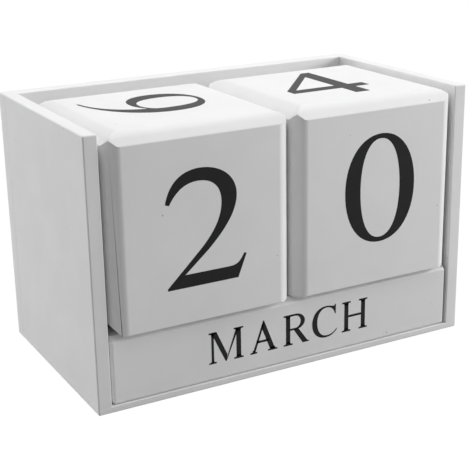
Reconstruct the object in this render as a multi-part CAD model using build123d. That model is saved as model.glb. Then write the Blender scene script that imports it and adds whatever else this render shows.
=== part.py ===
"""Wooden perpetual desk calendar: an open-fronted case holding two date cubes on three month blocks.

Millimetres. The origin is the middle of the model's footprint, on the table: +X to the right as the
calendar is read, +Y towards its back, +Z up.
"""

from build123d import *

import os

# ---------------------------------------------------------------- driving dimensions

# Date cubes
CUBE_SIZE = 55.0
CUBE_BEVEL = 3.2             # 45 degree bevel on the top and upright edges
CUBE_FOOT_BEVEL = 1.3        # finer bevel round the underside
TENS_WORN_FOOT_BEVEL = 3.0   # the tens cube's lower left edge is cut back further
CUBE_PROUD = 1.7             # the cubes stand this far out of the case's front

# Month blocks
BLOCK_SECTION = 19.6         # square section
BLOCK_BEVEL = 1.6            # 45 degree bevel on the two upper long edges
BLOCK_FOOT_BEVEL = 0.4       # the lower long edges are only eased
BLOCK_END_BEVEL = 0.6        # finer bevel round both ends
BLOCK_COUNT = 3
BLOCK_RECESS = 0.4           # front block's face, back from the case's front

# Case boards
SIDE_THICKNESS = 4.0
BACK_THICKNESS = 5.4
FLOOR_THICKNESS = 1.9
EDGE_SOFTENING = 1.0         # sanded radius on the outside edges of the finished case

# Running clearances
CUBE_SIDE_PLAY = 1.1         # cube to side board
CUBE_MIDDLE_PLAY = 0.5       # cube to cube
BLOCK_END_PLAY = 0.5         # block end to side board
BLOCK_ROW_PLAY = 0.3         # block to block, front to back
BLOCK_BACK_PLAY = 1.6        # rear block to back board
RESTING_GAP = 0.1            # a loose piece over what carries it
CUBE_TOP_DROP = 0.4          # cube tops below the case's top edge

# Brads, driven and sunk flush in holes of their own size
BRAD_HEAD_RADIUS = 0.9
BRAD_HEAD_HEIGHT = 0.6
BRAD_SHANK_RADIUS = 0.5
BRAD_BITE = 9.0              # shank length inside the side board
BRAD_END_MARGIN = 12.0       # outermost brads, in from the ends of the joint
BACK_BRADS_PER_SIDE = 3
FLOOR_BRADS_PER_SIDE = 2

# ---------------------------------------------------------------- sizes that follow

INNER_WIDTH = 2 * CUBE_SIZE + CUBE_MIDDLE_PLAY + 2 * CUBE_SIDE_PLAY
CASE_WIDTH = INNER_WIDTH + 2 * SIDE_THICKNESS

BLOCK_PITCH = BLOCK_SECTION + BLOCK_ROW_PLAY
BLOCK_ROW_DEPTH = BLOCK_COUNT * BLOCK_PITCH - BLOCK_ROW_PLAY
INNER_DEPTH = BLOCK_RECESS + BLOCK_ROW_DEPTH + BLOCK_BACK_PLAY
CASE_DEPTH = INNER_DEPTH + BACK_THICKNESS

BLOCK_BASE = FLOOR_THICKNESS + RESTING_GAP
BLOCK_LENGTH = INNER_WIDTH - 2 * BLOCK_END_PLAY
CUBE_BASE = BLOCK_BASE + BLOCK_SECTION + RESTING_GAP
CASE_HEIGHT = CUBE_BASE + CUBE_SIZE + CUBE_TOP_DROP

CASE_FRONT = (CUBE_PROUD - CASE_DEPTH) / 2    # the footprint runs from the cubes' faces to the back
CASE_BACK = CASE_FRONT + CASE_DEPTH
CASE_RIGHT = CASE_WIDTH / 2
INNER_BACK = CASE_BACK - BACK_THICKNESS
SIDE_CENTRE = CASE_RIGHT - SIDE_THICKNESS / 2


# ---------------------------------------------------------------- case

def board(x_range, y_range, z_range):
    """A plain board between two corners."""
    (x0, x1), (y0, y1), (z0, z1) = x_range, y_range, z_range
    centre = ((x0 + x1) / 2, (y0 + y1) / 2, (z0 + z1) / 2)
    return Pos(*centre) * Box(x1 - x0, y1 - y0, z1 - z0)


def sanded_outline():
    """The finished case's outside: sanded all round, so a board cut from it keeps its true edges."""
    outside = board((-CASE_RIGHT, CASE_RIGHT), (CASE_FRONT, CASE_BACK), (0, CASE_HEIGHT))
    return fillet(outside.edges(), EDGE_SOFTENING)


def brad_row(first, last, count):
    """Even positions from first to last."""
    return [first + (last - first) * index / (count - 1) for index in range(count)]


def brad(through):
    """A brad with its head at the origin, driven along -Z through a board into the next one."""
    head = Pos(0, 0, -BRAD_HEAD_HEIGHT / 2) * Cylinder(BRAD_HEAD_RADIUS, BRAD_HEAD_HEIGHT)
    shank_length = through - BRAD_HEAD_HEIGHT + BRAD_BITE
    shank = Pos(0, 0, -BRAD_HEAD_HEIGHT - shank_length / 2) * Cylinder(BRAD_SHANK_RADIUS, shank_length)
    return head + shank


def back_brads():
    """Brads through the back board into the rear ends of both side boards."""
    driven_forwards = Rot(-90, 0, 0)
    heights = brad_row(BRAD_END_MARGIN, CASE_HEIGHT - BRAD_END_MARGIN, BACK_BRADS_PER_SIDE)
    return [
        Pos(x, CASE_BACK, z) * driven_forwards * brad(BACK_THICKNESS)
        for x in (-SIDE_CENTRE, SIDE_CENTRE)
        for z in heights
    ]


def floor_brads():
    """Brads up through the floor board into the lower edges of both side boards."""
    driven_upwards = Rot(180, 0, 0)
    places = brad_row(CASE_FRONT + BRAD_END_MARGIN, INNER_BACK - BRAD_END_MARGIN, FLOOR_BRADS_PER_SIDE)
    return [
        Pos(x, y, 0) * driven_upwards * brad(FLOOR_THICKNESS)
        for x in (-SIDE_CENTRE, SIDE_CENTRE)
        for y in places
    ]


def case_boards():
    """Floor under everything, sides on the floor, back board across the sides' rear ends."""
    full_width = (-CASE_RIGHT, CASE_RIGHT)
    side_depth = (CASE_FRONT, INNER_BACK)
    above_floor = (FLOOR_THICKNESS, CASE_HEIGHT)
    plain_boards = {
        "floor_panel": board(full_width, (CASE_FRONT, CASE_BACK), (0, FLOOR_THICKNESS)),
        "left_side_panel": board((-CASE_RIGHT, -INNER_WIDTH / 2), side_depth, above_floor),
        "right_side_panel": board((INNER_WIDTH / 2, CASE_RIGHT), side_depth, above_floor),
        "back_panel": board(full_width, (INNER_BACK, CASE_BACK), above_floor),
    }
    outline = sanded_outline()
    brads = back_brads() + floor_brads()
    return {name: (plain & outline) - brads for name, plain in plain_boards.items()}


# ---------------------------------------------------------------- loose pieces

def bevelled_square(size, lower_left, lower_right, upper):
    """A square standing on the origin's line, with its corners cut at 45 degrees."""
    half = size / 2
    return Polyline(
        (-half + lower_left, 0), (half - lower_right, 0), (half, lower_right),
        (half, size - upper), (half - upper, size), (-half + upper, size),
        (-half, size - upper), (-half, lower_left), close=True,
    )


def bevelled_prism(plane, profile, length):
    """The profile's prism, half the length to each side of the plane."""
    return extrude(plane * make_face(profile), length / 2, both=True)


def date_cube(left_foot_bevel):
    """A cube standing on the origin: three bevelled prisms crossed, so the bevels meet in points."""
    from_front = bevelled_square(CUBE_SIZE, left_foot_bevel, CUBE_FOOT_BEVEL, CUBE_BEVEL)
    from_side = bevelled_square(CUBE_SIZE, CUBE_FOOT_BEVEL, CUBE_FOOT_BEVEL, CUBE_BEVEL)
    from_above = bevelled_square(CUBE_SIZE, CUBE_BEVEL, CUBE_BEVEL, CUBE_BEVEL)
    upright = Pos(0, -CUBE_SIZE / 2, CUBE_SIZE / 2) * bevelled_prism(Plane.XY, from_above, CUBE_SIZE)
    lengthways = bevelled_prism(Plane.XZ, from_front, CUBE_SIZE)
    crossways = bevelled_prism(Plane.YZ, from_side, CUBE_SIZE)
    return lengthways & crossways & upright


def date_cubes():
    """Tens to the left, units to the right, side by side and proud of the case's front."""
    offset = (CUBE_SIZE + CUBE_MIDDLE_PLAY) / 2
    depth = CASE_FRONT - CUBE_PROUD + CUBE_SIZE / 2
    return {
        "tens_cube": Pos(-offset, depth, CUBE_BASE) * date_cube(TENS_WORN_FOOT_BEVEL),
        "units_cube": Pos(offset, depth, CUBE_BASE) * date_cube(CUBE_FOOT_BEVEL),
    }


def month_block():
    """A square bar along X, standing on the origin, with bevelled upper edges and eased ends."""
    section = bevelled_square(BLOCK_SECTION, BLOCK_FOOT_BEVEL, BLOCK_FOOT_BEVEL, BLOCK_BEVEL)
    bar = bevelled_prism(Plane.YZ, section, BLOCK_LENGTH)
    ends = bar.faces().filter_by(Axis.X)
    return chamfer(ends.edges(), BLOCK_END_BEVEL)


def month_blocks():
    """The row of blocks under the cubes, front to back."""
    names = ("front_month_block", "middle_month_block", "rear_month_block")
    first = CASE_FRONT + BLOCK_RECESS + BLOCK_SECTION / 2
    return {
        name: Pos(0, first + row * BLOCK_PITCH, BLOCK_BASE) * month_block()
        for row, name in enumerate(names[:BLOCK_COUNT])
    }


# ---------------------------------------------------------------- assembly

def calendar():
    """Every piece of the calendar by name."""
    pieces = {}
    pieces.update(case_boards())
    pieces["back_brads"] = Compound(children=back_brads())
    pieces["floor_brads"] = Compound(children=floor_brads())
    pieces.update(month_blocks())
    pieces.update(date_cubes())
    return pieces


os.makedirs("parts", exist_ok=True)
for node, piece in calendar().items():
    export_step(piece, f"parts/{node}.step")
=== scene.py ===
"""The looks of a white wooden block calendar: painted case, date cubes and month blocks, with their print.

Object sizes are in millimetres in the classes' fields and become metres where meshes are made. The case,
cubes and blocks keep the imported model's places and outlines. What is added here is the softening of their
edges, the paint, the printed figures and months, the brads' heads and the specks in the paint.
"""

from __future__ import annotations

import logging
import math
from collections.abc import Callable, Iterable, Sequence
from dataclasses import dataclass, field
from enum import Enum

import bmesh
import bpy
from bmesh.types import BMesh
from bpy.types import ID, Material, Mesh, Node, NodeSocket, NodeTree, Object, ShaderNode
from mathutils import Matrix, Vector
from mathutils.geometry import interpolate_bezier, tessellate_polygon

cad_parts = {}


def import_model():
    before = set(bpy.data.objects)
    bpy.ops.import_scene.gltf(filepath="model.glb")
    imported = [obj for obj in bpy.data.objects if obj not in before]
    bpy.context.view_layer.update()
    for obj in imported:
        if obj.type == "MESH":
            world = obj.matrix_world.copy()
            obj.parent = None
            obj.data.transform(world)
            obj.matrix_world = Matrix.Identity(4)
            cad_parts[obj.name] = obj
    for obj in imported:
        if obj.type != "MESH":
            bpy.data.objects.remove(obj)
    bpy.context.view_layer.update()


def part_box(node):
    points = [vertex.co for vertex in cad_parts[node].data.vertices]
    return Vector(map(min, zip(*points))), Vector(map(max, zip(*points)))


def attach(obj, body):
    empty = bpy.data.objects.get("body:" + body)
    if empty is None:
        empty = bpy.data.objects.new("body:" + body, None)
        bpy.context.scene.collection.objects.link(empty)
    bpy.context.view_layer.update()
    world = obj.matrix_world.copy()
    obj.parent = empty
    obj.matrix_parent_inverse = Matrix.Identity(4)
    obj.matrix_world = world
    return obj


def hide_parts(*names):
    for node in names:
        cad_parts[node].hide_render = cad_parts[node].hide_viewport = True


LOG = logging.getLogger("block_calendar")

MM = 0.001

LEFTWARD, RIGHTWARD = Vector((-1, 0, 0)), Vector((1, 0, 0))
FORWARD, REARWARD = Vector((0, -1, 0)), Vector((0, 1, 0))
DOWNWARD, UPWARD = Vector((0, 0, -1)), Vector((0, 0, 1))

SAME_WAY = 0.9                   # two unit vectors look the same way when their product is above this
UPRIGHT = 0.1                    # an edge is upright when its two faces' normals rise less than this in all
REAL_EDGE = math.radians(20)     # faces that meet at a wider angle than this make an edge of the wood
SAME_FACE = math.radians(1)      # triangles that meet at a smaller angle than this are one flat face
WELD_MM = 0.001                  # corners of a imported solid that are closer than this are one
ROUNDING_STEPS = 5               # facets across a softened edge

COAT_MM = 0.05                   # loose pieces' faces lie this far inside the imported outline
FILM_MM = 0.02                   # thickness of the print on them


# ---------------------------------------------------------------- colour and node helpers

def linear(hex_colour: str) -> tuple[float, float, float, float]:
    """Turn an sRGB hex colour into the linear values that shaders take.

    Args:
        hex_colour: Six hex digits after a hash.

    Returns:
        Linear red, green and blue, and an alpha of one.
    """
    channels = [int(hex_colour[i:i + 2], 16) / 255 for i in (1, 3, 5)]
    red, green, blue = (c / 12.92 if c <= 0.04045 else ((c + 0.055) / 1.055) ** 2.4 for c in channels)
    return red, green, blue, 1.0


def per_metre(feature_mm: float) -> float:
    """Texture scale that gives features of this many millimetres on Object coordinates."""
    return 1.0 / (feature_mm * MM)


def add_node(
    tree: NodeTree,
    kind: str,
    settings: dict[str, object] | None = None,
    inputs: dict[str | int, object] | None = None,
) -> Node:
    """Add one node, with its settings, and its inputs set or linked.

    Args:
        tree: The tree that gets the node.
        kind: The node's type name.
        settings: Attributes of the node itself.
        inputs: By socket name or number: a socket to link from, or a plain value.

    Returns:
        The new node.
    """
    node = tree.nodes.new(kind)
    for name, value in (settings or {}).items():
        setattr(node, name, value)
    for key, value in (inputs or {}).items():
        if isinstance(value, NodeSocket):
            tree.links.new(value, node.inputs[key])
        else:
            node.inputs[key].default_value = value
    return node


def seen_directly(tree: NodeTree) -> NodeSocket:
    """One for the rays that show the background as it is: camera, glossy and transmission rays.

    Args:
        tree: A material's or the world's tree.

    Returns:
        A socket that is one or zero.
    """
    path = add_node(tree, "ShaderNodeLightPath")
    mirrored = add_node(tree, "ShaderNodeMath", {"operation": "MAXIMUM"}, {
        0: path.outputs["Is Glossy Ray"], 1: path.outputs["Is Transmission Ray"]})
    seen = add_node(tree, "ShaderNodeMath", {"operation": "MAXIMUM"}, {
        0: path.outputs["Is Camera Ray"], 1: mirrored.outputs[0]})
    return seen.outputs[0]


class Finish:
    """A named material whose nodes start from Object coordinates and end in one Principled shader.

    Attributes:
        name: The material's name.
        colour: Its main tone, as a hex colour.
        shade: The tone of its patches, where it has them.
    """

    name: str
    colour: str
    shade: str

    def material(self) -> Material:
        """Build the material.

        Returns:
            The finished material.
        """
        material = bpy.data.materials.new(self.name)
        material.use_nodes = True
        tree = material.node_tree
        place = add_node(tree, "ShaderNodeTexCoord").outputs["Object"]
        self.coat(tree, tree.nodes["Principled BSDF"], place)
        return material

    def coat(self, tree: NodeTree, shader: ShaderNode, place: NodeSocket) -> None:
        """Set the shader and link its textures.

        Args:
            tree: The material's tree.
            shader: Its Principled shader.
            place: The Object coordinates.
        """
        raise NotImplementedError

    def tint(
        self, tree: NodeTree, shader: ShaderNode, place: NodeSocket,
        *, patch_mm: float, detail: float, breakup: float, span: tuple[float, float],
    ) -> None:
        """Colour the shader in patches that run from the main tone to the shade.

        Args:
            tree: The material's tree.
            shader: Its Principled shader.
            place: The Object coordinates.
            patch_mm: From one patch to the next.
            detail: How many finer patterns lie over the patches.
            breakup: How strong those are.
            span: Levels of the noise at which the main tone ends and the shade is full.
        """
        patches = add_node(tree, "ShaderNodeTexNoise", inputs={
            "Vector": place, "Scale": per_metre(patch_mm), "Detail": detail, "Roughness": breakup})
        share = add_node(tree, "ShaderNodeMapRange", inputs={
            "Value": patches.outputs["Fac"], "From Min": span[0], "From Max": span[1]})
        # The colour sockets of a Mix node share their names with its other types': they are numbers 6 and 7.
        tones = add_node(tree, "ShaderNodeMix", {"data_type": "RGBA"}, {
            "Factor": share.outputs[0], 6: linear(self.colour), 7: linear(self.shade)})
        tree.links.new(tones.outputs[2], shader.inputs["Base Color"])


# ---------------------------------------------------------------- finishes

@dataclass(frozen=True)
class PaintedWood(Finish):
    """Satin white paint over sanded wood: it hides the grain but keeps faint strokes along it."""

    name: str
    grain: Vector
    colour: str = "#F3F3F3"
    shade: str = "#EEEEEE"
    roughness: float = 0.46
    glossier: float = 0.05             # off the roughness where the strokes are glossiest
    duller: float = 0.06               # onto it where they are dullest
    mottle_mm: float = 14.0            # from one cloud of the paint to the next
    stroke_width_mm: float = 0.9
    stroke_length_mm: float = 22.0
    stroke_depth_mm: float = 0.02
    peel_mm: float = 0.55              # from one dimple of the orange peel to the next
    peel_depth_mm: float = 0.018
    ior: float = 1.48                  # acrylic paint

    def coat(self, tree: NodeTree, shader: ShaderNode, place: NodeSocket) -> None:
        """Cloudy white, combed along the grain, with fine orange peel.

        Args:
            tree: The material's tree.
            shader: Its Principled shader.
            place: The Object coordinates.
        """
        self.tint(
            tree, shader, place, patch_mm=self.mottle_mm, detail=3.0, breakup=0.55, span=(0.3, 0.7))

        along = Vector(
            per_metre(self.stroke_length_mm if abs(way) > SAME_WAY else self.stroke_width_mm)
            for way in self.grain)
        combed = add_node(tree, "ShaderNodeMapping", inputs={"Vector": place, "Scale": along})
        strokes = add_node(tree, "ShaderNodeTexNoise", inputs={
            "Vector": combed.outputs[0], "Scale": 1.0, "Detail": 2.0, "Roughness": 0.5})
        gloss = add_node(tree, "ShaderNodeMapRange", inputs={
            "Value": strokes.outputs["Fac"], "From Min": 0.25, "From Max": 0.75,
            "To Min": self.roughness - self.glossier, "To Max": self.roughness + self.duller})
        tree.links.new(gloss.outputs[0], shader.inputs["Roughness"])

        lines = add_node(tree, "ShaderNodeBump", inputs={
            "Height": strokes.outputs["Fac"], "Strength": 0.35, "Distance": self.stroke_depth_mm * MM})
        dimples = add_node(tree, "ShaderNodeTexNoise", inputs={
            "Vector": place, "Scale": per_metre(self.peel_mm), "Detail": 2.0, "Roughness": 0.6})
        peel = add_node(tree, "ShaderNodeBump", inputs={
            "Height": dimples.outputs["Fac"], "Strength": 0.4, "Distance": self.peel_depth_mm * MM,
            "Normal": lines.outputs[0]})
        tree.links.new(peel.outputs[0], shader.inputs["Normal"])
        shader.inputs["IOR"].default_value = self.ior


@dataclass(frozen=True)
class ScreenInk(Finish):
    """Black screen-printing ink: a thin, even, satin film that is a little paler where it lies thin."""

    name: str = "screen_printed_black_ink"
    colour: str = "#101011"
    shade: str = "#1A1A1B"
    roughness: float = 0.46
    shine: float = 0.16
    patch_mm: float = 3.0

    def coat(self, tree: NodeTree, shader: ShaderNode, place: NodeSocket) -> None:
        """Near black with slightly thinner patches.

        Args:
            tree: The material's tree.
            shader: Its Principled shader.
            place: The Object coordinates.
        """
        self.tint(tree, shader, place, patch_mm=self.patch_mm, detail=4.0, breakup=0.7, span=(0.45, 0.8))
        shader.inputs["Roughness"].default_value = self.roughness
        shader.inputs["Specular IOR Level"].default_value = self.shine


@dataclass(frozen=True)
class DrawnSteel(Finish):
    """Drawn steel wire, cropped and headed: bright grey with fine scratches that dull it unevenly."""

    name: str = "drawn_steel_wire"
    colour: str = "#B9B8B4"
    smoothest: float = 0.28            # roughness between the scratches
    roughest: float = 0.58             # roughness in them
    scratch_mm: float = 0.12

    def coat(self, tree: NodeTree, shader: ShaderNode, place: NodeSocket) -> None:
        """Metal with a gloss that changes from scratch to scratch.

        Args:
            tree: The material's tree.
            shader: Its Principled shader.
            place: The Object coordinates.
        """
        scratches = add_node(tree, "ShaderNodeTexNoise", inputs={
            "Vector": place, "Scale": per_metre(self.scratch_mm), "Detail": 2.0, "Roughness": 0.5})
        dull = add_node(tree, "ShaderNodeMapRange", inputs={
            "Value": scratches.outputs["Fac"], "To Min": self.smoothest, "To Max": self.roughest})
        tree.links.new(dull.outputs[0], shader.inputs["Roughness"])
        shader.inputs["Base Color"].default_value = linear(self.colour)
        shader.inputs["Metallic"].default_value = 1.0


@dataclass(frozen=True)
class Dust(Finish):
    """Lint and dust caught in the paint as it dried: dull grey specks of uneven tone."""

    name: str = "dust_in_the_paint"
    colour: str = "#9A9894"
    shade: str = "#6E6C69"
    roughness: float = 0.85
    patch_mm: float = 4.0              # wider than a speck, so that each has one tone

    def coat(self, tree: NodeTree, shader: ShaderNode, place: NodeSocket) -> None:
        """Grey that differs from speck to speck.

        Args:
            tree: The material's tree.
            shader: Its Principled shader.
            place: The Object coordinates.
        """
        self.tint(tree, shader, place, patch_mm=self.patch_mm, detail=0.0, breakup=0.5, span=(0.35, 0.65))
        shader.inputs["Roughness"].default_value = self.roughness


@dataclass(frozen=True)
class StudioPaper:
    """Matt white paper sweep: it shows as clean white to the camera and keeps a faint shadow."""

    name: str = "matt_white_studio_paper"
    colour: str = "#9C9C9C"            # as it takes part in the light on the object
    lift: float = 0.93                 # how much of it is plain white where it is seen
    white: float = 1.07                # level of that white

    def material(self) -> Material:
        """Build the paper.

        Returns:
            A material that glows for camera, glossy and transmission rays alone.
        """
        material = bpy.data.materials.new(self.name)
        material.use_nodes = True
        tree = material.node_tree
        tree.nodes.remove(tree.nodes["Principled BSDF"])
        paper = add_node(tree, "ShaderNodeBsdfDiffuse", inputs={"Color": linear(self.colour)})
        glow = add_node(tree, "ShaderNodeEmission", inputs={"Strength": self.white})
        share = add_node(tree, "ShaderNodeMath", {"operation": "MULTIPLY"}, {
            0: seen_directly(tree), 1: self.lift})
        mix = add_node(tree, "ShaderNodeMixShader", inputs={
            0: share.outputs[0], 1: paper.outputs[0], 2: glow.outputs[0]})
        tree.links.new(mix.outputs[0], tree.nodes["Material Output"].inputs["Surface"])
        return material


# ---------------------------------------------------------------- roman figures and capitals

# In thousandths of the type size
CAP = 662.0             # height of the capitals
STEM = 100.0            # thick strokes
HAIR = 54.0             # thin strokes
BOWL_HAIR = 42.0        # thin parts of round strokes
SERIF = 56.0            # how far a serif stands out
SERIF_EDGE = 32.0       # how thick its tip is
SERIF_TOP = 76.0        # how high its bracket runs up the stroke
SERIF_NECK = 40.0       # how high up the stroke the bracket's curve is steered
SERIF_TOE = 12.0        # how far out along the tip it is steered
SAME_POINT = 0.001      # ends of an outline that are closer than this are one

BOWL_TURN = 0.38        # share of a bowl's reach that runs straight before it turns
ROUND = 0.55            # a round corner's handle, as a share of its radius
CURVE_POINTS = 15       # points along one curve of an outline


@dataclass(frozen=True)
class Character:
    """A character as a printer cuts it: shapes that may overlap, each an outline and its holes."""

    width: float
    shapes: tuple[tuple[str, ...], ...]


def bar(x0: float, y0: float, x1: float, y1: float) -> tuple[str]:
    """A plain rectangle."""
    return (f"M{x0} {y0} L{x1} {y0} L{x1} {y1} L{x0} {y1} Z",)


def serif(x: float, width: float, base: float = 0.0) -> tuple[str]:
    """A bracketed serif on a stroke, at its foot, or hanging from its head if base is the cap height.

    Args:
        x: The stroke's left edge.
        width: The stroke's width.
        base: The line that the serif lies on.

    Returns:
        The serif's outline.
    """
    grow = 1 if base == 0 else -1
    edge, neck, top = (base + grow * rise for rise in (SERIF_EDGE, SERIF_NECK, SERIF_TOP))
    right, far_left, far_right = x + width, x - SERIF, x + width + SERIF
    return (
        f"M{far_left} {base} L{far_right} {base} L{far_right} {edge} "
        f"C{right + SERIF_TOE} {edge} {right} {neck} {right} {top} L{x} {top} "
        f"C{x} {neck} {x - SERIF_TOE} {edge} {far_left} {edge} Z",
    )


def stem(x: float, width: float = STEM) -> tuple[tuple[str], ...]:
    """A full-height upright with a serif at its foot and its head."""
    return serif(x, width), bar(x, SERIF_NECK, x + width, CAP - SERIF_NECK), serif(x, width, CAP)


def bowl(x: float, low: float, high: float, reach: float, heavy: float = STEM) -> tuple[str]:
    """A round stroke that bulges to the right of an upright.

    Args:
        x: Where it leaves the upright.
        low: Its lower edge.
        high: Its upper edge.
        reach: How far it bulges.
        heavy: Its width at the furthest point.

    Returns:
        The stroke's outline.
    """
    middle, side, turn = (low + high) / 2, x + reach, x + BOWL_TURN * reach
    inner_low, inner_high, inner_side = low + BOWL_HAIR, high - BOWL_HAIR, x + reach - heavy
    rise, swing = ROUND * (high - low) / 2, ROUND * (side - turn)
    inner_rise, inner_swing = ROUND * (inner_high - inner_low) / 2, ROUND * (inner_side - turn)
    return (
        f"M{x} {low} L{turn} {low} C{turn + swing} {low} {side} {middle - rise} {side} {middle} "
        f"C{side} {middle + rise} {turn + swing} {high} {turn} {high} L{x} {high} L{x} {inner_high} "
        f"L{turn} {inner_high} C{turn + inner_swing} {inner_high} {inner_side} {middle + inner_rise} "
        f"{inner_side} {middle} C{inner_side} {middle - inner_rise} {turn + inner_swing} {inner_low} "
        f"{turn} {inner_low} L{x} {inner_low} Z",
    )


TOP_ARM = ("M196 662 L560 662 L568 510 L546 510 C536 588 514 618 440 618 L196 618 Z",)
MIDDLE_ARM = (
    "M196 366 L380 366 C414 366 424 382 430 436 L454 436 L454 250 "
    "L430 250 C424 306 414 322 380 322 L196 322 Z",
)
BOTTOM_ARM = ("M196 0 L566 0 L602 172 L576 174 C544 84 518 44 430 44 L196 44 Z",)

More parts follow.
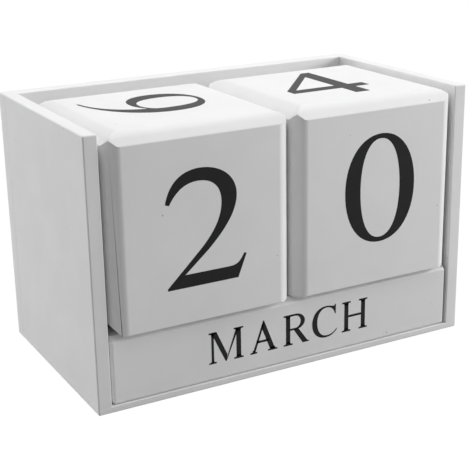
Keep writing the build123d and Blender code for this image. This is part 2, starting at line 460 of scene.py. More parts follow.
CHARACTERS: dict[str, Character] = {
    "0": Character(500, ((
        "M24 331 C24 524 112 676 254 676 C390 676 476 530 476 331 "
        "C476 138 390 -14 250 -14 C108 -14 24 138 24 331 Z",
        "M122 331 C122 500 162 646 250 646 C338 646 378 500 378 331 "
        "C378 160 338 16 250 16 C162 16 122 160 122 331 Z",
    ),)),
    "1": Character(500, ((
        "M394 0 L118 0 L118 18 C184 22 202 32 202 82 L202 540 C202 576 192 590 170 590 "
        "C158 590 142 586 111 573 L111 592 L290 676 L299 676 L299 80 C299 30 316 21 394 18 Z",
    ),)),
    "2": Character(500, ((
        "M475 137 L425 0 L30 0 L30 12 L208 200 C296 294 338 378 338 470 C338 556 288 604 212 604 "
        "C144 604 92 566 52 488 L31 496 C52 612 122 676 222 676 C338 676 424 600 424 498 "
        "C424 408 372 316 262 202 L128 76 L366 76 C418 76 434 86 461 142 Z",
    ),)),
    "3": Character(500, ((
        "M61 510 L45 514 C72 612 142 676 230 676 C330 676 394 618 394 532 C394 474 360 426 290 380 "
        "C386 346 432 286 432 212 C432 82 322 -14 150 -14 C78 -14 42 8 42 42 C42 66 60 82 84 82 "
        "C128 82 160 20 222 20 C296 20 346 84 346 170 C346 276 272 320 152 320 L152 334 "
        "C250 356 312 412 312 494 C312 562 270 606 206 606 C148 606 106 578 61 510 Z",
    ),)),
    "4": Character(500, ((
        "M456 152 L456 233 L372 233 L372 676 L322 676 L12 233 L12 152 L290 152 L290 0 L372 0 L372 152 Z",
        "M290 233 L64 233 L290 560 Z",
    ),)),
    "5": Character(500, ((
        "M438 681 L429 688 C415 668 405 662 384 662 L174 662 L64 424 C62 420 64 416 70 416 "
        "C228 416 326 330 326 184 C326 92 276 30 202 30 C152 30 120 76 76 76 C48 76 32 60 32 36 "
        "C32 4 76 -14 150 -14 C302 -14 408 84 408 234 C408 392 310 480 144 508 L181 583 L382 583 "
        "C394 583 398 584 402 592 Z",
    ),)),
    "6": Character(500, ((
        "M446 684 C290 668 34 540 34 262 C34 90 122 -14 252 -14 C382 -14 468 85 468 218 "
        "C468 346 392 428 284 428 C232 428 196 412 152 378 C182 540 292 642 448 668 Z",
        "M242 388 C332 388 378 312 378 192 C378 80 332 14 258 14 C170 14 128 115 128 268 "
        "C128 318 136 338 156 356 C180 376 208 388 242 388 Z",
    ),)),
    "7": Character(500, ((
        "M449 646 L237 -8 L172 -8 L370 588 L154 588 C92 588 72 574 37 503 L20 509 L79 662 L449 662 Z",
    ),)),
    "8": Character(500, ((
        "M290 374 C380 420 424 470 424 536 C424 620 354 676 254 676 C146 676 66 606 66 514 "
        "C66 444 98 398 186 326 C96 264 56 214 56 154 C56 54 134 -14 248 -14 C366 -14 445 60 445 170 "
        "C445 250 406 302 290 374 Z",
        "M262 398 C188 438 150 484 150 540 C150 602 190 648 250 648 C308 648 346 606 346 540 "
        "C346 482 318 436 262 398 Z",
        "M208 308 C284 258 366 218 366 134 C366 62 322 14 256 14 C186 14 136 70 136 152 "
        "C136 214 160 262 208 308 Z",
    ),)),
    "A": Character(722, (
        ("M502 30 L612 30 L367 674 L347 674 L302 550 Z",), ("M106 30 L162 30 L364 590 L347 674 Z",),
        bar(190, 212, 470, 262), serif(104, 44), serif(508, 106),
    )),
    "B": Character(667, (*stem(116), bowl(196, 328, 662, 350), bowl(196, 0, 358, 397))),
    "C": Character(667, ((
        "M597 465 L578 465 C552 576 480 640 380 640 C232 640 150 520 150 335 C150 150 240 28 388 28 "
        "C480 28 548 62 620 140 L633 126 C562 32 472 -14 356 -14 C162 -14 28 122 28 330 "
        "C28 540 166 676 362 676 C440 676 500 648 538 648 C562 648 576 660 582 676 L600 676 Z",
    ),)),
    "D": Character(722, (*stem(114), bowl(196, 0, 662, 489, 108))),
    "E": Character(611, (*stem(110), TOP_ARM, MIDDLE_ARM, BOTTOM_ARM)),
    "F": Character(556, (*stem(110), TOP_ARM, MIDDLE_ARM)),
    "H": Character(722, (*stem(104), *stem(518), bar(196, 308, 526, 358))),
    "I": Character(333, stem(116)),
    "J": Character(389, (serif(186, STEM, CAP), (
        "M186 600 L286 600 L286 180 C286 50 210 -14 110 -14 C50 -14 10 12 10 50 C10 76 28 96 54 96 "
        "C104 96 92 26 140 26 C176 26 186 60 186 130 Z",
    ))),
    "L": Character(611, (*stem(110), BOTTOM_ARM)),
    "M": Character(889, (
        *stem(112, HAIR), *stem(664, 104), ("M112 662 L228 662 L462 140 L436 0 L420 0 Z",),
        ("M424 0 L440 0 L716 640 L664 662 Z",),
    )),
    "N": Character(722, (
        *stem(106, HAIR), serif(574, HAIR, CAP), bar(574, -11, 574 + HAIR, CAP - SERIF_NECK),
        ("M92 662 L208 662 L610 130 L610 -11 L592 -11 Z",),
    )),
    "O": Character(722, ((
        "M34 331 C34 530 170 676 361 676 C552 676 688 530 688 331 "
        "C688 132 552 -14 361 -14 C170 -14 34 132 34 331 Z",
        "M146 331 C146 520 230 636 361 636 C492 636 576 520 576 331 "
        "C576 142 492 26 361 26 C230 26 146 142 146 331 Z",
    ),)),
    "P": Character(556, (*stem(110), bowl(196, 290, 662, 346))),
    "R": Character(667, (
        *stem(112), bowl(196, 314, 662, 362),
        ("M286 334 L404 334 L588 74 C612 40 632 22 660 18 L660 0 L506 0 Z",),
    )),
    "S": Character(556, ((
        "M469 463 L451 463 C432 572 366 640 266 640 C190 640 139 596 139 530 C139 462 190 430 300 376 "
        "C424 314 491 268 491 172 C491 60 400 -14 275 -14 C190 -14 132 16 98 16 C80 16 70 2 66 -14 "
        "L48 -14 L42 210 L60 210 C84 90 160 22 272 22 C350 22 402 68 402 138 C402 212 342 246 240 296 "
        "C112 360 65 418 65 506 C65 604 140 676 250 676 C330 676 380 648 406 648 C426 648 434 660 438 676 "
        "L455 676 Z",
    ),)),
    "T": Character(611, (
        serif(254, STEM), bar(254, SERIF_NECK, 254 + STEM, 650),
        ("M17 486 L40 486 C54 580 84 618 160 618 L450 618 "
         "C530 618 556 580 570 486 L593 486 L586 662 L24 662 Z",),
    )),
    "U": Character(722, (
        serif(98, STEM, CAP), serif(590, HAIR, CAP),
        ("M98 620 L198 620 L198 232 C198 90 258 30 378 30 C508 30 590 100 590 250 L590 620 L626 620 "
         "L626 250 C626 80 530 -14 362 -14 C198 -14 98 70 98 230 Z",),
    )),
    "V": Character(722, (
        serif(86, 112, CAP), serif(588, HAIR, CAP),
        ("M94 640 L206 640 L414 150 L371 -11 L355 -11 Z",),
        ("M358 -11 L374 -11 L628 640 L580 640 L392 170 Z",),
    )),
    "Y": Character(722, (
        serif(306, STEM), bar(306, SERIF_NECK, 306 + STEM, 300), serif(92, 106, CAP),
        serif(584, HAIR, CAP),
        ("M96 640 L206 640 L406 300 L306 270 Z",), ("M372 270 L406 290 L618 640 L580 640 Z",),
    )),
}


# ---------------------------------------------------------------- objects and plain meshes

def stand(name: str, data: ID) -> Object:
    """Add an object to the scene, at the origin.

    Args:
        name: Its name.
        data: Its mesh, light or camera.

    Returns:
        The object.
    """
    added = bpy.data.objects.new(name, data)
    bpy.context.scene.collection.objects.link(added)
    return added


def new_object(name: str, mesh: Mesh, body: str, slot: str) -> Object:
    """Show a finished mesh at the origin, and let it ride on a body.

    Args:
        name: The piece's name.
        mesh: Its mesh, in metres, where it belongs, with its material.
        body: The body that carries it.
        slot: The name of its material slot. It is not used.

    Returns:
        The new object.
    """
    piece = stand(name, mesh)
    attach(piece, body)
    return piece


def finished_mesh(name: str, workpiece: Object) -> Mesh:
    """Turn an object with its live modifiers into a plain mesh.

    Args:
        name: The new mesh's name.
        workpiece: The object. It is removed, and its own mesh with it.

    Returns:
        The plain mesh.
    """
    evaluated = workpiece.evaluated_get(bpy.context.evaluated_depsgraph_get())
    mesh = bpy.data.meshes.new_from_object(evaluated)
    mesh.name = name
    source = workpiece.data
    bpy.data.objects.remove(workpiece)
    bpy.data.meshes.remove(source)
    return mesh


# ---------------------------------------------------------------- recipes in Geometry Nodes

HEAD_SIDES = 28           # facets round a brad's head
SHANK_SIDES = 20          # facets round its shank
SPECK_DIVISIONS = 2       # how finely a speck is rounded
NARROWEST = 0.5           # a speck's width is at least this share of its length
FILM_WELD_MM = 0.0001     # corners of a film's two sides that are closer than this are one


class Recipe:
    """A Geometry Nodes group built node by node, and the way to make a plain mesh with it."""

    def __init__(self, name: str, inputs: dict[str, str]) -> None:
        """Start the group.

        Args:
            name: The group's name.
            inputs: Each named input's socket type, without its NodeSocket prefix.
        """
        self.tree = bpy.data.node_groups.new(name, "GeometryNodeTree")
        self.sockets: dict[str, str] = {}
        for label, kind in {"Geometry": "Geometry", **inputs, "Finish": "Material"}.items():
            socket = self.tree.interface.new_socket(label, in_out="INPUT", socket_type=f"NodeSocket{kind}")
            self.sockets[label] = socket.identifier
        self.tree.interface.new_socket("Geometry", in_out="OUTPUT", socket_type="NodeSocketGeometry")
        self.given = self.tree.nodes.new("NodeGroupInput").outputs

    def step(self, kind: str, settings: dict[str, object] | None = None, **inputs: object) -> NodeSocket:
        """Add a node whose inputs are named with underscores for spaces, and give its first output."""
        named = {label.replace("_", " "): value for label, value in inputs.items()}
        return add_node(self.tree, kind, settings, named).outputs[0]

    def serve(self, geometry: NodeSocket) -> None:
        """End the group with real geometry that has the given finish.

        Args:
            geometry: What the group has made.
        """
        real = self.step("GeometryNodeRealizeInstances", Geometry=geometry)
        coated = self.step("GeometryNodeSetMaterial", Geometry=real, Material=self.given["Finish"])
        add_node(self.tree, "NodeGroupOutput", inputs={"Geometry": coated})

    def cook(self, name: str, source: Mesh, values: dict[str, object], finish: Material) -> Mesh:
        """Run the group once on a mesh.

        Args:
            name: The new mesh's name.
            source: The mesh that goes in. It is removed.
            values: The named inputs' values.
            finish: The material that the result gets.

        Returns:
            A plain mesh with the result.
        """
        worktop = stand("worktop", source)
        modifier = worktop.modifiers.new("recipe", "NODES")
        modifier.node_group = self.tree
        for label, value in {**values, "Finish": finish}.items():
            modifier[self.sockets[label]] = value
        return finished_mesh(name, worktop)


def film_recipe() -> Recipe:
    """Give flat faces a thickness along their normals, closed all round.

    Returns:
        The recipe.
    """
    recipe = Recipe("ink_film", {"Thickness": "Float"})
    flat = recipe.given["Geometry"]
    raised = recipe.step(
        "GeometryNodeExtrudeMesh", {"mode": "FACES"}, Mesh=flat, Offset_Scale=recipe.given["Thickness"],
        Individual=False)
    underside = recipe.step("GeometryNodeFlipFaces", Mesh=flat)
    joined = add_node(recipe.tree, "GeometryNodeJoinGeometry")
    for part in (raised, underside):
        recipe.tree.links.new(part, joined.inputs[0])
    closed = recipe.step(
        "GeometryNodeMergeByDistance", Geometry=joined.outputs[0], Distance=FILM_WELD_MM * MM)
    recipe.serve(closed)
    return recipe


def brad_recipe() -> Recipe:
    """Headed brads in two rows: each stands on its head, which faces down its own z axis.

    Returns:
        The recipe.
    """
    recipe = Recipe("rows_of_brads", {
        "First": "Vector", "Along": "Vector", "Count": "Int", "Across": "Vector", "Driven": "Rotation",
        "Head Radius": "Float", "Face Radius": "Float", "Head Height": "Float", "Shank Radius": "Float",
        "Shank Length": "Float", "Seed": "Int"})
    given, step = recipe.given, recipe.step
    head = step(
        "GeometryNodeMeshCone", {"fill_type": "NGON"}, Vertices=HEAD_SIDES, Radius_Top=given["Head Radius"],
        Radius_Bottom=given["Face Radius"], Depth=given["Head Height"])
    shank = step(
        "GeometryNodeMeshCylinder", {"fill_type": "NGON"}, Vertices=SHANK_SIDES,
        Radius=given["Shank Radius"], Depth=given["Shank Length"])
    half = add_node(recipe.tree, "ShaderNodeMath", {"operation": "MULTIPLY"}, {
        0: given["Shank Length"], 1: 0.5})
    rise = add_node(recipe.tree, "ShaderNodeMath", {"operation": "ADD"}, {
        0: half.outputs[0], 1: given["Head Height"]})
    lifted = step(
        "GeometryNodeTransform", Geometry=shank,
        Translation=step("ShaderNodeCombineXYZ", Z=rise.outputs[0]))
    joined = add_node(recipe.tree, "GeometryNodeJoinGeometry")
    for part in (head, lifted):
        recipe.tree.links.new(part, joined.inputs[0])
    row = step(
        "GeometryNodeMeshLine", {"mode": "OFFSET"}, Count=given["Count"], Start_Location=given["First"],
        Offset=given["Along"])
    pair = step("GeometryNodeMeshLine", {"mode": "OFFSET"}, Count=2, Offset=given["Across"])
    rows = step("GeometryNodeInstanceOnPoints", Points=pair, Instance=row)
    places = step("GeometryNodeRealizeInstances", Geometry=rows)
    brads = step(
        "GeometryNodeInstanceOnPoints", Points=places, Instance=joined.outputs[0], Rotation=given["Driven"])
    spin = add_node(recipe.tree, "FunctionNodeRandomValue", {"data_type": "FLOAT"}, {
        "Min": 0.0, "Max": math.tau, "Seed": given["Seed"]})
    turned = step(
        "GeometryNodeRotateInstances", Instances=brads,
        Rotation=step("ShaderNodeCombineXYZ", Z=spin.outputs["Value"]))
    recipe.serve(turned)
    return recipe


def speck_recipe() -> Recipe:
    """Small flat specks scattered over a surface, lying in it.

    Returns:
        The recipe.
    """
    recipe = Recipe("scattered_specks", {
        "Density": "Float", "Smallest": "Float", "Largest": "Float", "Flatness": "Float", "Seed": "Int"})
    given, step = recipe.given, recipe.step
    scatter = add_node(recipe.tree, "GeometryNodeDistributePointsOnFaces", inputs={
        "Mesh": given["Geometry"], "Density": given["Density"], "Seed": given["Seed"]})
    grain = step("GeometryNodeMeshIcoSphere", Radius=1.0, Subdivisions=SPECK_DIVISIONS)
    specks = step(
        "GeometryNodeInstanceOnPoints", Points=scatter.outputs["Points"], Instance=grain,
        Rotation=scatter.outputs["Rotation"])
    size = add_node(recipe.tree, "FunctionNodeRandomValue", {"data_type": "FLOAT"}, {
        "Min": given["Smallest"], "Max": given["Largest"], "Seed": given["Seed"]})
    stretch = add_node(recipe.tree, "FunctionNodeRandomValue", {"data_type": "FLOAT"}, {
        "Min": NARROWEST, "Max": 1.0, "Seed": given["Seed"]})
    short = add_node(recipe.tree, "ShaderNodeMath", {"operation": "MULTIPLY"}, {
        0: size.outputs["Value"], 1: stretch.outputs["Value"]})
    scale = step(
        "ShaderNodeCombineXYZ", X=size.outputs["Value"], Y=short.outputs[0], Z=given["Flatness"])
    recipe.serve(step("GeometryNodeScaleInstances", Instances=specks, Scale=scale))
    return recipe


@dataclass(frozen=True)
class Specks:
    """Dust specks over some finished pieces that move together."""

    name: str
    body: str
    slot: str
    seed: int
    per_square_metre: float = 900.0
    smallest_mm: float = 0.06
    largest_mm: float = 0.20
    flatness_mm: float = 0.03

    def settle(self, pieces: Sequence[Object], recipe: Recipe, dust: Material) -> Object:
        """Scatter the specks over the pieces.

        Args:
            pieces: The pieces that carry them.
            recipe: The scattering recipe.
            dust: The specks' material.

        Returns:
            The specks, as one object.
        """
        ground = bmesh.new()
        for piece in pieces:
            ground.from_mesh(piece.data)
        source = bpy.data.meshes.new("ground")
        ground.to_mesh(source)
        ground.free()
        source.materials.clear()
        mesh = recipe.cook(self.name, source, {
            "Density": self.per_square_metre, "Smallest": self.smallest_mm * MM,
            "Largest": self.largest_mm * MM, "Flatness": self.flatness_mm * MM, "Seed": self.seed}, dust)
        return new_object(self.name, mesh, self.body, self.slot)


# ---------------------------------------------------------------- print

class Face(Enum):
    """A face of a loose piece, by the way it looks and the way its print reads upwards."""

    FRONT = (FORWARD, UPWARD)
    TOP = (UPWARD, REARWARD)
    TOP_SIDEWAYS = (UPWARD, LEFTWARD)
    BACK = (REARWARD, UPWARD)
    BACK_ROLLED = (REARWARD, DOWNWARD)
    BASE = (DOWNWARD, FORWARD)
    LEFT_END = (LEFTWARD, REARWARD)
    RIGHT_END = (RIGHTWARD, UPWARD)

    def plane(self, low: Vector, high: Vector, depth: float) -> Matrix:
        """Matrix that lays a flat drawing on this face of a box.

        Args:
            low: The box's lowest corner.
            high: The box's highest corner.
            depth: How far inside the box's face the drawing lies.

        Returns:
            A matrix whose z axis looks out of the face and whose y axis is the print's up.
        """
        outward, upward = self.value
        across = upward.cross(outward)
        half = (high - low) / 2
        spot = (low + high) / 2 + Vector(way * reach for way, reach in zip(outward, half)) - outward * depth
        return Matrix.Translation(spot) @ Matrix((across, upward, outward)).transposed().to_4x4()


@dataclass(frozen=True)
class Print:
    """A figure or word on one face of a loose piece."""

    face: Face
    text: str
    height_mm: float                              # the capitals' height
    stretch: float = 1.0                          # width against the drawn width
    tracking: float = 0.0                         # extra space, in thousandths of the type size
    shift_mm: tuple[float, float] = (0.0, 0.0)    # from the face's middle, along the line and upwards

    def lettering(self) -> Iterable[tuple[list[Vector], list[tuple[int, ...]]]]:
        """Draw the print's shapes on a flat sheet, with its middle at the origin.

        Returns:
            Corners, in metres, and the triangles between them, for one shape after another.
        """
        width = sum(CHARACTERS[letter].width for letter in self.text) + self.tracking * (len(self.text) - 1)
        size = self.height_mm * MM / CAP
        pen = -width / 2
        for letter in self.text:
            for shape in CHARACTERS[letter].shapes:
                corners, triangles = filled(shape)
                yield [
                    Vector((
                        (pen + corner.x) * size * self.stretch + self.shift_mm[0] * MM,
                        (corner.y - CAP / 2) * size + self.shift_mm[1] * MM, 0.0))
                    for corner in corners
                ], triangles
            pen += CHARACTERS[letter].width + self.tracking


def traced(path: str) -> list[Vector]:
    """Points along one closed outline.

    Args:
        path: Moves, lines and curves, in thousandths of the type size.

    Returns:
        Its points, the last one apart from the first.
    """
    words = path.replace("M", "M ").replace("L", "L ").replace("C", "C ").split()
    points: list[Vector] = []
    place = 0
    while words[place] != "Z":
        count = 3 if words[place] == "C" else 1
        numbers = [float(word) for word in words[place + 1:place + 1 + 2 * count]]
        ends = [Vector((x, y, 0.0)) for x, y in zip(numbers[::2], numbers[1::2])]
        points += interpolate_bezier(points[-1], *ends, CURVE_POINTS)[1:] if count == 3 else ends
        place += 1 + 2 * count
    if (points[0] - points[-1]).length < SAME_POINT:
        points.pop()
    return points


def filled(shape: Sequence[str]) -> tuple[list[Vector], list[tuple[int, ...]]]:
    """Fill an outline with its holes.

    Args:
        shape: The outline, then its holes.

    Returns:
        The corners, and triangles between them that face up.
    """
    outlines = [traced(path) for path in shape]
    corners = [point for outline in outlines for point in outline]
    triangles = []
    for one, two, three in tessellate_polygon(outlines):
        side, other = corners[two] - corners[one], corners[three] - corners[one]
        triangles.append((one, two, three) if side.cross(other).z > 0 else (one, three, two))
    return corners, triangles


@dataclass(frozen=True)
class Printer:
    """Lays prints on a loose piece as thin films of ink."""

    ink: Material
    recipe: Recipe

    def sheet(self, name: str, prints: Sequence[Print], low: Vector, high: Vector) -> Mesh:
        """Print a piece on all its faces.

        Args:
            name: The mesh's name.
            prints: What goes on it.
            low: The piece's lowest corner.
            high: The piece's highest corner.

        Returns:
            The film.
        """
        corners: list[Vector] = []
        triangles: list[tuple[int, ...]] = []
        for item in prints:
            to_face = item.face.plane(low, high, COAT_MM * MM)
            for flat, faces in item.lettering():
                first = len(corners)
                corners += [to_face @ corner for corner in flat]
                triangles += [tuple(first + index for index in face) for face in faces]
        stencil = bpy.data.meshes.new("stencil")
        stencil.from_pydata(corners, [], triangles)
        return self.recipe.cook(name, stencil, {"Thickness": FILM_MM * MM}, self.ink)


# ---------------------------------------------------------------- softened wooden pieces

def softened(name: str, solid: BMesh, finish: Material, radius_mm: float) -> Mesh:
    """Round a solid's edges by their weights, and shade it smoothly.

    Args:
        name: The new mesh's name.
        solid: The solid, whose edges carry bevel weights. It is freed.
        finish: Its material.
        radius_mm: The rounding at a weight of one.

    Returns:
        The rounded mesh.
    """
    rough = bpy.data.meshes.new("rough")
    solid.to_mesh(rough)
    solid.free()
    rough.materials.append(finish)
    rough.shade_smooth()
    blank = stand("blank", rough)
    bevel = blank.modifiers.new("rounding", "BEVEL")
    bevel.limit_method, bevel.width, bevel.segments = "WEIGHT", radius_mm * MM, ROUNDING_STEPS
    bevel.use_clamp_overlap = False
    blank.modifiers.new("shading", "WEIGHTED_NORMAL").keep_sharp = True
    return finished_mesh(name, blank)


def weigh_edges(solid: BMesh, weight: Callable[[Vector, Vector], float]) -> None:
    """Give each real edge a bevel weight from the way its two faces look.

    Args:
        solid: The solid.
        weight: Gives the weight for two face normals.
    """
    layer = solid.edges.layers.float.new("bevel_weight_edge")
    for edge in solid.edges:
        if len(edge.link_faces) == 2 and edge.calc_face_angle(0.0) > REAL_EDGE:
            edge[layer] = weight(edge.link_faces[0].normal, edge.link_faces[1].normal)


def looks_along(normal: Vector, ways: Iterable[Vector]) -> bool:
    """Whether a face looks one of these ways."""
    return any(normal.dot(way) > SAME_WAY for way in ways)


@dataclass
class Board:
    """One painted board of the case, cut square, glued, then sanded on the case's outside."""

    node: str
    outside: tuple[Vector, ...]    # the ways that its sanded faces look
    glued: tuple[Vector, ...]      # the ways that its glued faces look
    grain: Vector
    sanded_mm: float = 0.45    # outside edges of the finished case
    eased_mm: float = 0.3      # edges towards the inside
    seam_mm: float = 0.12      # edges of glued faces, painted over
    coat_mm: float = 0.04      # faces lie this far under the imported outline, which the brad heads reach

    def build(self) -> Object:
        """Build the board from its node's corners.

        Returns:
            The finished piece, which stands for the node.
        """
        low, high = (Vector(corner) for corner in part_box(self.node))
        solid = bmesh.new()
        bmesh.ops.create_cube(solid, size=1.0)
        for corner in solid.verts:
            corner.co = Vector(top if side > 0 else bottom for side, bottom, top in zip(corner.co, low, high))
        bmesh.ops.recalc_face_normals(solid, faces=solid.faces)
        for face in solid.faces:
            face.normal_update()
            if looks_along(face.normal, self.outside):
                bmesh.ops.translate(solid, verts=face.verts, vec=-face.normal * self.coat_mm * MM)
        weigh_edges(solid, self._edge_weight)
        paint = PaintedWood(f"white_paint_{self.node}", self.grain).material()
        name = f"{self.node}_painted"
        piece = new_object(name, softened(name, solid, paint, self.sanded_mm), "case", "case_paint")
        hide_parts(self.node)
        return piece

    def _edge_weight(self, one: Vector, other: Vector) -> float:
        """Share of the sanded radius that an edge gets.

        Args:
            one: The normal of one of its faces.
            other: The normal of the other face.

        Returns:
            The edge's bevel weight.
        """
        if looks_along(one, self.glued) or looks_along(other, self.glued):
            return self.seam_mm / self.sanded_mm
        if looks_along(one, self.outside) and looks_along(other, self.outside):
            return 1.0
        return self.eased_mm / self.sanded_mm


@dataclass
class BradRows:
    """Two rows of brads, one into each side board, with bright heads flush with the outline."""

    node: str
    way_out: Vector                 # from the shanks to the heads
    along: Vector                   # the way that a row runs
    per_row: int
    seed: int
    head_radius_mm: float = 0.9
    face_radius_mm: float = 0.81    # of the head's outer face, inside its sloping rim
    head_height_mm: float = 0.6
    shank_radius_mm: float = 0.5

    def build(self, recipe: Recipe, steel: Material) -> Object:
        """Build the brads where their node has them.

        Args:
            recipe: The recipe for rows of brads.
            steel: Their material.

        Returns:
            The brads, which stand for the node.
        """
        low, high = (Vector(corner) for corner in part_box(self.node))
        radius = self.head_radius_mm * MM
        across = Vector(abs(value) for value in self.way_out.cross(self.along))
        length = (high - low).dot(Vector(abs(value) for value in self.way_out))
        level = high if sum(self.way_out) > 0 else low
        start = low + (across + self.along) * radius
        first = Vector(
            level[axis] if abs(self.way_out[axis]) > SAME_WAY else start[axis] for axis in range(3))
        reach = high - low - Vector((2 * radius,) * 3)
        inward = (-self.way_out).to_track_quat("Z", "Y").to_euler()
        name = f"{self.node}_steel"
        mesh = recipe.cook(name, bpy.data.meshes.new("nothing"), {
            "First": first,
            "Along": self.along * (reach.dot(self.along) / (self.per_row - 1)),
            "Count": self.per_row,
            "Across": across * reach.dot(across),
            "Driven": inward,
            "Head Radius": radius,
            "Face Radius": self.face_radius_mm * MM,
            "Head Height": self.head_height_mm * MM,
            "Shank Radius": self.shank_radius_mm * MM,
            "Shank Length": length - self.head_height_mm * MM,
            "Seed": self.seed}, steel)
        piece = new_object(name, mesh, "case", "brad_steel")
        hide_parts(self.node)
        return piece


@dataclass
class Case:
    """The open-fronted case: floor, two sides, back, and the brads that hold them."""

    boards: tuple[Board, ...] = (
        Board("floor_panel", (FORWARD, DOWNWARD, LEFTWARD, RIGHTWARD, REARWARD), (UPWARD,), RIGHTWARD),
        Board("left_side_panel", (LEFTWARD, FORWARD, UPWARD), (REARWARD, DOWNWARD), REARWARD),
        Board("right_side_panel", (RIGHTWARD, FORWARD, UPWARD), (REARWARD, DOWNWARD), REARWARD),
        Board("back_panel", (REARWARD, LEFTWARD, RIGHTWARD, UPWARD), (DOWNWARD,), RIGHTWARD),
    )
    brads: tuple[BradRows, ...] = (
        BradRows("back_brads", REARWARD, UPWARD, per_row=3, seed=5),
        BradRows("floor_brads", DOWNWARD, REARWARD, per_row=2, seed=6),
    )

    def build(self) -> list[Object]:
        """Build every board."""
        return [board.build() for board in self.boards]

    def dress(self) -> list[Object]:
        """Drive the brads."""
        recipe, steel = brad_recipe(), DrawnSteel().material()
        return [rows.build(recipe, steel) for rows in self.brads]


@dataclass
class PrintedBlock:
    """A loose painted block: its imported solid, softened along its bevels and printed on its faces."""

    node: str
    body: str
    slot: str
    prints: tuple[Print, ...]
    crown_mm: float            # where the top runs over into its bevels
    upright_mm: float          # where the upright bevels run over into the faces
    crisp_mm: float            # every other edge
    foot: tuple[tuple[float, float], ...] = ()    # heights at the foot's bevels, packed and shown, in mm
    cloud_mm: float = 18.0     # from one cloud of the paint to the next

    def build(self, printer: Printer) -> list[Object]:
        """Build the block and its print.

        Args:
            printer: Makes the ink.

        Returns:
            The block and its print.
        """
        low, high = (Vector(corner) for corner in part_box(self.node))
        solid = self._solid(low, high)
        weigh_edges(solid, self._edge_weight)
        paint = PaintedWood(f"white_paint_{self.node}", RIGHTWARD, mottle_mm=self.cloud_mm).material()
        name = f"{self.node}_painted"
        block = new_object(name, softened(name, solid, paint, self.crown_mm), self.body, self.slot)
        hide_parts(self.node)
        ink = f"{self.node}_print"
        film = printer.sheet(ink, self.prints, low, high)
        return [block, new_object(ink, film, self.body, self.slot)]

    def _solid(self, low: Vector, high: Vector) -> BMesh:
        """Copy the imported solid, welded, with whole faces, a coat's thickness inside its box.

        Args:
            low: The box's lowest corner.
            high: The box's highest corner.

        Returns:
            The copy.
        """
        solid = bmesh.new()
        solid.from_mesh(bpy.data.objects[self.node].data)
        bmesh.ops.remove_doubles(solid, verts=solid.verts, dist=WELD_MM * MM)
        bmesh.ops.dissolve_limit(solid, angle_limit=SAME_FACE, verts=solid.verts, edges=solid.edges)
        bmesh.ops.recalc_face_normals(solid, faces=solid.faces)
        centre, half = (low + high) / 2, (high - low) / 2
        for corner in solid.verts:
            corner.co = Vector(
                middle + (value - middle) * (1 - COAT_MM * MM / reach)
                for value, middle, reach in zip(corner.co, centre, half))
            corner.co.z = low.z + self._settled(corner.co.z - low.z)
        return solid

    def _settled(self, height: float) -> float:
        """Draw the foot's bevels down.

        Args:
            height: A corner's packed height above the block's base, in metres.

        Returns:
            The height at which it is shown.
        """
        steps = ((0.0, 0.0), *self.foot)
        for (low, shown_low), (high, shown_high) in zip(steps, steps[1:]):
            if low * MM < height < high * MM:
                share = (height / MM - low) / (high - low)
                return (shown_low + share * (shown_high - shown_low)) * MM
        return height

    def _edge_weight(self, one: Vector, other: Vector) -> float:
        """Share of the crown's radius that an edge gets.

        Args:
            one: The normal of one of its faces.
            other: The normal of the other face.

        Returns:
            The edge's bevel weight.
        """
        if looks_along(one, (UPWARD,)) or looks_along(other, (UPWARD,)):
            return 1.0
        if abs(one.z) + abs(other.z) < UPRIGHT:
            return self.upright_mm / self.crown_mm
        return self.crisp_mm / self.crown_mm


def date_cube(node: str, body: str, prints: tuple[Print, ...]) -> PrintedBlock:
    """A date cube with its six figures."""
    return PrintedBlock(
        node, body, "cube_paint", prints, crown_mm=2.1, upright_mm=1.2, crisp_mm=0.2,
        foot=((1.4, 0.35), (2.9, 2.9)))


def month_block(node: str, body: str, months: dict[Face, str]) -> PrintedBlock:
    """A month block with a month on each printed face."""
    prints = tuple(Print(face, word, height_mm=9.5, tracking=38.0) for face, word in months.items())
    return PrintedBlock(node, body, "block_paint", prints, crown_mm=0.35, upright_mm=0.25, crisp_mm=0.25)


def figure(
    face: Face, text: str, height_mm: float = 32.0, stretch: float = 1.12,
    shift_mm: tuple[float, float] = (0.0, 0.0),
) -> Print:
    """A date cube's figure, by default as large as most of them are."""
    return Print(face, text, height_mm, stretch, shift_mm=shift_mm)


# ---------------------------------------------------------------- studio

@dataclass(frozen=True)
class Lamp:
    """One square soft lamp that points at the calendar."""

    name: str
    place: tuple[float, float, float]     # in metres, as its size is
    size: float
    watts: float
    target: Vector = field(default_factory=lambda: Vector((0.0, 0.0, 0.04)))    # the calendar's middle

    def hang(self) -> None:
        """Add the lamp to the scene."""
        light = bpy.data.lights.new(self.name, "AREA")
        light.shape, light.size, light.energy = "SQUARE", self.size, self.watts
        lamp = stand(self.name, light)
        lamp.location = self.place
        lamp.rotation_euler = (self.target - Vector(self.place)).to_track_quat("-Z", "Y").to_euler()


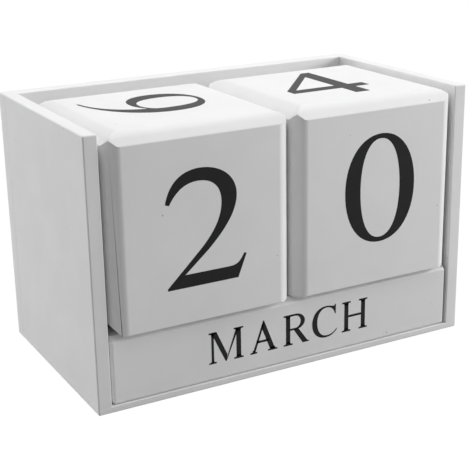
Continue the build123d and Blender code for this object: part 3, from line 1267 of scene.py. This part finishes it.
@dataclass
class Studio:
    """White paper, soft overhead light, and the camera at the photograph's angle."""

    azimuth: float = 28.31         # camera to the left of the object's front, in degrees
    elevation: float = 18.38
    roll: float = -1.09
    distance_mm: float = 343.7
    aim_mm: Vector = field(default_factory=lambda: Vector((-4.44, -7.55, 34.55)))
    lens_mm: float = 88.18
    sensor_mm: float = 36.0
    sky: float = 0.21              # level of the light from all round
    paper_mm: float = 6000.0
    paper_squares: int = 8         # along each edge of the paper's mesh
    lamps: tuple[Lamp, ...] = (
        Lamp("overhead_softbox", (0.0, 0.08, 0.62), size=0.90, watts=3.2),
        Lamp("left_rear_softbox", (-0.62, 0.42, 0.22), size=0.40, watts=1.83),
        Lamp("right_front_softbox", (0.60, -0.30, 0.25), size=0.24, watts=3.1),
    )

    def build(self) -> None:
        """Set up the world, lamps, paper and camera."""
        self._world()
        self._paper()
        for lamp in self.lamps:
            lamp.hang()
        self._camera()

    def _world(self) -> None:
        """Grey light from all round that the camera sees as white."""
        world = bpy.data.worlds.new("studio_air")
        bpy.context.scene.world = world
        world.use_nodes = True
        tree = world.node_tree
        tree.nodes.clear()
        ambient = add_node(tree, "ShaderNodeBackground", inputs={"Color": (1, 1, 1, 1), "Strength": self.sky})
        white = add_node(tree, "ShaderNodeBackground", inputs={"Color": (1, 1, 1, 1), "Strength": 1.0})
        mix = add_node(tree, "ShaderNodeMixShader", inputs={
            0: seen_directly(tree), 1: ambient.outputs[0], 2: white.outputs[0]})
        add_node(tree, "ShaderNodeOutputWorld", inputs={"Surface": mix.outputs[0]})

    def _paper(self) -> None:
        """A wide sheet of paper under the object."""
        half = self.paper_mm / 2 * MM
        sheet = bmesh.new()
        bmesh.ops.create_grid(
            sheet, x_segments=self.paper_squares, y_segments=self.paper_squares, size=half)
        mesh = bpy.data.meshes.new("studio_paper")
        sheet.to_mesh(mesh)
        sheet.free()
        mesh.materials.append(StudioPaper().material())
        paper = stand("studio_paper", mesh)

    def _camera(self) -> None:
        """Place the camera round the aim point."""
        azimuth, elevation, roll = (math.radians(a) for a in (self.azimuth, self.elevation, self.roll))
        towards_camera = Vector((
            -math.sin(azimuth) * math.cos(elevation), -math.cos(azimuth) * math.cos(elevation),
            math.sin(elevation)))
        level_right = UPWARD.cross(towards_camera).normalized()
        level_up = towards_camera.cross(level_right)
        right = math.cos(roll) * level_right + math.sin(roll) * level_up
        upward = -math.sin(roll) * level_right + math.cos(roll) * level_up
        data = bpy.data.cameras.new("photograph_view")
        data.lens, data.sensor_width, data.sensor_fit = self.lens_mm, self.sensor_mm, "AUTO"
        camera = stand("photograph_view", data)
        turn = Matrix((right, upward, towards_camera)).transposed().to_4x4()
        spot = (self.aim_mm + towards_camera * self.distance_mm) * MM
        camera.matrix_world = Matrix.Translation(spot) @ turn
        bpy.context.scene.camera = camera


# ---------------------------------------------------------------- assembly


def loose_pieces() -> tuple[PrintedBlock, ...]:
    """The cubes and month blocks, with what is printed on them.

    Returns:
        The pieces, with the tens first and the rear block last.
    """
    return (
        date_cube("tens_cube", "tens", (
            figure(Face.FRONT, "2", shift_mm=(0.3, -0.9)),
            figure(Face.TOP_SIDEWAYS, "6", shift_mm=(2.0, 2.2)),
            figure(Face.BACK, "1"),
            figure(Face.BASE, "7"),
            figure(Face.LEFT_END, "0"),
            figure(Face.RIGHT_END, "8"),
        )),
        date_cube("units_cube", "units", (
            figure(Face.FRONT, "0", height_mm=31.0, stretch=1.14, shift_mm=(1.2, 1.3)),
            figure(Face.TOP, "4", height_mm=33.0, stretch=1.18, shift_mm=(-2.0, 0.5)),
            figure(Face.BACK, "3"),
            figure(Face.BASE, "1"),
            figure(Face.LEFT_END, "5"),
            figure(Face.RIGHT_END, "2"),
        )),
        month_block("front_month_block", "front_month", {
            Face.FRONT: "MARCH", Face.TOP: "APRIL", Face.BACK_ROLLED: "MAY", Face.BASE: "JUNE"}),
        month_block("middle_month_block", "middle_month", {
            Face.FRONT: "JULY", Face.BACK_ROLLED: "OCTOBER", Face.BASE: "NOVEMBER"}),
        month_block("rear_month_block", "rear_month", {
            Face.FRONT: "DECEMBER", Face.TOP: "JANUARY", Face.BACK_ROLLED: "FEBRUARY",
            Face.BASE: "SEPTEMBER"}),
    )


def main() -> None:
    """Build the calendar's looks in order and report each piece."""
    logging.basicConfig(level=logging.INFO, format="%(message)s")
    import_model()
    bpy.context.scene.view_settings.view_transform = "Standard"
    Studio().build()

    case = Case()
    boards = case.build()
    pieces = boards + case.dress()
    specks, dust = speck_recipe(), Dust().material()
    pieces.append(Specks("case_dust", "case", "case_paint", seed=11).settle(boards, specks, dust))
    printer = Printer(ScreenInk().material(), film_recipe())
    for seed, block in enumerate(loose_pieces(), start=21):
        made = block.build(printer)
        dusting = Specks(f"{block.node}_dust", block.body, block.slot, seed)
        pieces += [*made, dusting.settle(made[:1], specks, dust)]
    for piece in pieces:
        LOG.info("%s: %d faces", piece.name, len(piece.data.polygons))


if __name__ == "__main__":
    main()
